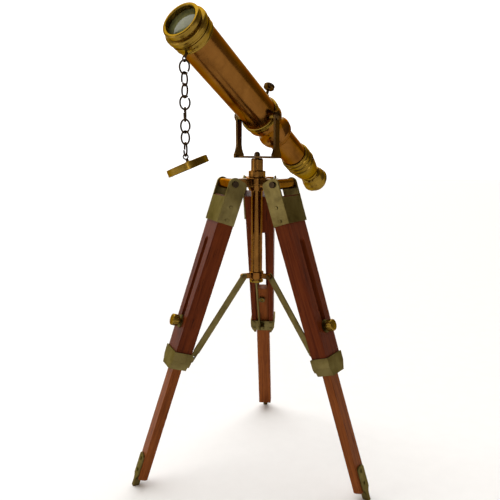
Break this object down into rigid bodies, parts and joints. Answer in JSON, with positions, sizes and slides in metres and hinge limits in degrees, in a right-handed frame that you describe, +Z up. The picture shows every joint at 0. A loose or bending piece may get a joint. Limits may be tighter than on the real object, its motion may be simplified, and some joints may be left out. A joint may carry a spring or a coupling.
{
  "type": "telescope on tripod",
  "caption": "Brass-finished refracting telescope with focusing draw tube, lens cap on a chain and a panning yoke, on a folding wooden tripod with extending legs.",
  "frame": {"origin": "on the tripod's axis at floor level, midway between the three foot points", "axes": "+Z up along the column; +Y towards the back leg; the other legs stand at -30 and -150 degrees; the telescope points towards -Y, turned 27.7 degrees towards -X and raised 30 degrees"},
  "size_m": [0.2318, 0.2468, 0.4433],
  "materials": {
    "antique_brass": "antiqued bright brass",
    "copper_lacquer": "copper-brown lacquered brass",
    "bronze_dark": "dark antiqued brass",
    "olive_brass": "satin aged brass sheet",
    "rosewood": "varnished red-brown hardwood",
    "chain_brass": "blackened brass wire",
    "lens_glass": "clear polished glass"
  },
  "bodies": {
    "tripod": {"column_post": "copper_lacquer", "column_stop_ring": "antique_brass", "tripod_hub": "antique_brass", "hinge_bolts": "bronze_dark", "yoke_nut": "bronze_dark"},
    "yoke": {"yoke_bracket": "bronze_dark"},
    "scope": {"objective_bezel": "antique_brass", "objective_lens": "lens_glass", "lens_retaining_ring": "bronze_dark", "objective_collar": "antique_brass", "main_barrel": "copper_lacquer", "trunnion_ring": "antique_brass", "tilt_screws": "bronze_dark", "rear_cup": "copper_lacquer", "chain_staple": "chain_brass"},
    "draw": {"draw_tube": "copper_lacquer", "eyepiece_collar": "antique_brass", "eyepiece_taper": "antique_brass", "eyecup": "antique_brass", "eye_lens": "lens_glass"},
    "barrel_lock": {"barrel_lock_screw": "bronze_dark"},
    "spreader": {"spreader_collar": "copper_lacquer", "spreader_pins": "bronze_dark"},
    "leg_back": {"upper_leg_back": "rosewood", "head_ferrule_back": "olive_brass", "lower_ferrule_back": "olive_brass", "leg_fasteners_back": "antique_brass"},
    "shank_back": {"lower_leg_back": "rosewood", "foot_plate_back": "olive_brass", "shank_hardware_back": "antique_brass"},
    "knob_back": {"lock_knob_back": "antique_brass"},
    "brace_back": {"brace_back": "olive_brass"},
    "leg_left": {"upper_leg_left": "rosewood", "head_ferrule_left": "olive_brass", "lower_ferrule_left": "olive_brass", "leg_fasteners_left": "antique_brass"},
    "shank_left": {"lower_leg_left": "rosewood", "foot_plate_left": "olive_brass", "shank_hardware_left": "antique_brass"},
    "knob_left": {"lock_knob_left": "antique_brass"},
    "brace_left": {"brace_left": "olive_brass"},
    "leg_right": {"upper_leg_right": "rosewood", "head_ferrule_right": "olive_brass", "lower_ferrule_right": "olive_brass", "leg_fasteners_right": "antique_brass"},
    "shank_right": {"lower_leg_right": "rosewood", "foot_plate_right": "olive_brass", "shank_hardware_right": "antique_brass"},
    "knob_right": {"lock_knob_right": "antique_brass"},
    "brace_right": {"brace_right": "olive_brass"},
    "link_1": {"chain_link_1": "chain_brass"},
    "link_2": {"chain_link_2": "chain_brass"},
    "link_3": {"chain_link_3": "chain_brass"},
    "link_4": {"chain_link_4": "chain_brass"},
    "link_5": {"chain_link_5": "chain_brass"},
    "link_6": {"chain_link_6": "chain_brass"},
    "link_7": {"chain_link_7": "chain_brass"},
    "link_8": {"chain_link_8": "chain_brass"},
    "cap": {"lens_cap": "antique_brass"}
  },
  "joints": [
    {"name": "yoke_pan", "type": "hinge", "parent": "tripod", "child": "yoke", "pos_m": [0, 0, 0.3186], "axis": [0, 0, 1], "continuous": true},
    {"name": "scope_tilt", "type": "hinge", "parent": "yoke", "child": "scope", "pos_m": [0, 0, 0.3585], "axis": [0.8851, -0.4653, 0], "range_deg": [-15, 25]},
    {"name": "draw_focus", "type": "slide", "parent": "scope", "child": "draw", "axis": [-0.4027, -0.7661, 0.5009], "range_m": [-0.009, 0.034]},
    {"name": "barrel_lock_turn", "type": "hinge", "parent": "scope", "child": "barrel_lock", "pos_m": [0.00817, 0.01554, 0.38185], "axis": [0.2331, 0.4434, 0.8655], "continuous": true},
    {"name": "leg_fold_back", "type": "hinge", "parent": "tripod", "child": "leg_back", "pos_m": [0, 0.0303, 0.2931], "axis": [-1, 0, 0], "range_deg": [0, 17]},
    {"name": "leg_fold_left", "type": "hinge", "parent": "tripod", "child": "leg_left", "pos_m": [-0.02624, -0.01515, 0.2931], "axis": [0.5, -0.866, 0], "range_deg": [0, 17]},
    {"name": "leg_fold_right", "type": "hinge", "parent": "tripod", "child": "leg_right", "pos_m": [0.02624, -0.01515, 0.2931], "axis": [0.5, 0.866, 0], "range_deg": [0, 17]},
    {"name": "leg_length_back", "type": "slide", "parent": "leg_back", "child": "shank_back", "axis": [0, -0.3233, 0.9463], "range_m": [0, 0.068]},
    {"name": "knob_turn_back", "type": "hinge", "parent": "shank_back", "child": "knob_back", "pos_m": [0, 0.08377, 0.16131], "axis": [0, 0.9463, 0.3233], "continuous": true},
    {"name": "leg_length_left", "type": "slide", "parent": "leg_left", "child": "shank_left", "axis": [0.2799, 0.1616, 0.9463], "range_m": [0, 0.068]},
    {"name": "knob_turn_left", "type": "hinge", "parent": "shank_left", "child": "knob_left", "pos_m": [-0.07255, -0.04189, 0.16131], "axis": [-0.8195, -0.4732, 0.3233], "continuous": true},
    {"name": "leg_length_right", "type": "slide", "parent": "leg_right", "child": "shank_right", "axis": [-0.2799, 0.1616, 0.9463], "range_m": [0, 0.068]},
    {"name": "knob_turn_right", "type": "hinge", "parent": "shank_right", "child": "knob_right", "pos_m": [0.07255, -0.04189, 0.16131], "axis": [0.8195, -0.4732, 0.3233], "continuous": true},
    {"name": "spreader_rise", "type": "slide", "parent": "tripod", "child": "spreader", "axis": [0, 0, 1], "range_m": [0, 0.0151]},
    {"name": "brace_swing_back", "type": "hinge", "parent": "spreader", "child": "brace_back", "pos_m": [0, 0.015, 0.1992], "axis": [-1, 0, 0], "range_deg": [0, 33.71]},
    {"name": "brace_swing_left", "type": "hinge", "parent": "spreader", "child": "brace_left", "pos_m": [-0.01299, -0.0075, 0.1992], "axis": [0.5, -0.866, 0], "range_deg": [0, 33.71]},
    {"name": "brace_swing_right", "type": "hinge", "parent": "spreader", "child": "brace_right", "pos_m": [0.01299, -0.0075, 0.1992], "axis": [0.5, 0.866, 0], "range_deg": [0, 33.71]},
    {"name": "link_swing_1", "type": "hinge", "parent": "scope", "child": "link_1", "pos_m": [-0.0505, -0.09607, 0.39655], "axis": [-0.4653, -0.8851, 0], "range_deg": [-20, 20]},
    {"name": "link_swing_2", "type": "hinge", "parent": "link_1", "child": "link_2", "pos_m": [-0.0505, -0.09607, 0.38715], "axis": [0.9971, -0.0767, 0], "range_deg": [-20, 20]},
    {"name": "link_swing_3", "type": "hinge", "parent": "link_2", "child": "link_3", "pos_m": [-0.0505, -0.09607, 0.37765], "axis": [0.3322, 0.9432, 0], "range_deg": [-20, 20]},
    {"name": "link_swing_4", "type": "hinge", "parent": "link_3", "child": "link_4", "pos_m": [-0.0505, -0.09607, 0.36815], "axis": [-0.7145, 0.6997, 0], "range_deg": [-20, 20]},
    {"name": "link_swing_5", "type": "hinge", "parent": "link_4", "child": "link_5", "pos_m": [-0.0505, -0.09607, 0.35865], "axis": [-0.9018, -0.4321, 0], "range_deg": [-20, 20]},
    {"name": "link_swing_6", "type": "hinge", "parent": "link_5", "child": "link_6", "pos_m": [-0.0505, -0.09607, 0.34915], "axis": [0.0976, -0.9952, 0], "range_deg": [-20, 20]},
    {"name": "link_swing_7", "type": "hinge", "parent": "link_6", "child": "link_7", "pos_m": [-0.0505, -0.09607, 0.33965], "axis": [0.9593, -0.2823, 0], "range_deg": [-20, 20]},
    {"name": "link_swing_8", "type": "hinge", "parent": "link_7", "child": "link_8", "pos_m": [-0.0505, -0.09607, 0.33015], "axis": [0.6481, 0.7615, 0], "range_deg": [-20, 20]},
    {"name": "cap_swing", "type": "hinge", "parent": "link_8", "child": "cap", "pos_m": [-0.0505, -0.09607, 0.32065], "axis": [-0.4633, 0.8862, 0], "range_deg": [-20, 20]}
  ],
  "couplings": [
    {"joint": "leg_fold_left", "follows": "leg_fold_back", "ratio": 1},
    {"joint": "leg_fold_right", "follows": "leg_fold_back", "ratio": 1},
    {"joint": "spreader_rise", "follows": "leg_fold_back", "m_per_rad": 0.05056},
    {"joint": "brace_swing_back", "follows": "leg_fold_back", "ratio": 1.977},
    {"joint": "brace_swing_left", "follows": "leg_fold_back", "ratio": 1.977},
    {"joint": "brace_swing_right", "follows": "leg_fold_back", "ratio": 1.977}
  ]
}
